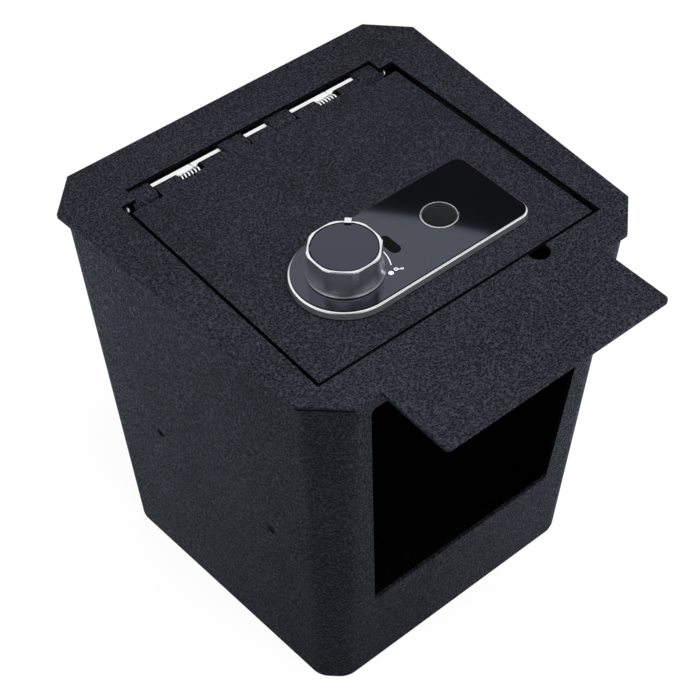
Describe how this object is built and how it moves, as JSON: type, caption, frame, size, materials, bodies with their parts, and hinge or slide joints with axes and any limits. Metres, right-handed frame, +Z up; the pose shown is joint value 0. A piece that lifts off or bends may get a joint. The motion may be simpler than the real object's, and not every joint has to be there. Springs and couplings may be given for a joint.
{
  "type": "vehicle console safe",
  "caption": "Tapered steel safe for a vehicle console with a front window, a rim plate with tongue and a sprung lid with knob and fingerprint lock.",
  "frame": {"origin": "centre of the underside of the tub's floor", "axes": "+X to the right as seen from the front, +Y towards the hinge at the back, +Z up"},
  "size_m": [0.2116, 0.2345, 0.2527],
  "materials": {
    "powder_coat": "textured black powder coat",
    "inner_steel": "matt black paint",
    "zinc": "bright zinc plate",
    "steel": "plain machined steel",
    "chrome": "satin chrome plate",
    "gloss_face": "high gloss",
    "sensor_black": "semi gloss",
    "knob_cap": "high gloss",
    "rubber": "matt",
    "foam": "matt closed-cell foam",
    "case_plastic": "matt moulded",
    "bronze": "plain",
    "board": "solder mask",
    "cell": "plain sleeve"
  },
  "bodies": {
    "safe": {"tub_shell": "powder_coat", "floor_mat": "foam", "top_frame": "powder_coat", "strike_channel": "inner_steel", "rest_rails": "inner_steel", "rail_pads": "foam", "hinge_tabs": "powder_coat", "hinge_leaf": "zinc", "hinge_pin": "zinc", "spring_left": "zinc", "spring_right": "zinc"},
    "lid": {"lid_plate": "powder_coat", "lock_bezel": "chrome", "lock_face": "gloss_face", "sensor_ring": "chrome", "sensor_pad": "sensor_black", "port_socket": "steel", "spindle_bushing": "bronze", "bolt_guides": "inner_steel", "lock_case": "case_plastic", "case_cover": "case_plastic", "case_screws": "steel", "battery_tray": "case_plastic", "battery_cells": "cell", "battery_cover": "case_plastic", "cover_screw": "steel", "circuit_board": "board", "solenoid": "bronze"},
    "knob": {"knob_shell": "chrome", "knob_cap": "knob_cap", "knob_pointer": "chrome", "spindle": "steel", "crank_disc": "steel"},
    "bolts": {"bolt_plate": "steel"},
    "plug": {"port_plug": "rubber"},
    "plunger": {"blocking_plunger": "steel"}
  },
  "joints": [
    {"name": "lid_hinge", "type": "hinge", "parent": "safe", "child": "lid", "pos_m": [0, 0.0607, 0.2291], "axis": [-1, 0, 0], "range_deg": [0, 95]},
    {"name": "knob_turn", "type": "hinge", "parent": "lid", "child": "knob", "pos_m": [-0.03125, -0.0419, 0.2327], "axis": [0, 0, 1], "range_deg": [-90, 0]},
    {"name": "bolt_slide", "type": "slide", "parent": "lid", "child": "bolts", "axis": [0, -1, 0], "range_m": [0, 0.0099]},
    {"name": "plug_pull", "type": "slide", "parent": "lid", "child": "plug", "axis": [0, 0, 1], "range_m": [0, 0.006]},
    {"name": "plunger_throw", "type": "slide", "parent": "lid", "child": "plunger", "axis": [-1, 0, 0], "range_m": [0, 0.0025], "stiffness_N_per_m": 60}
  ],
  "couplings": [
    {"joint": "bolt_slide", "follows": "knob_turn", "m_per_rad": -0.0063022}
  ]
}
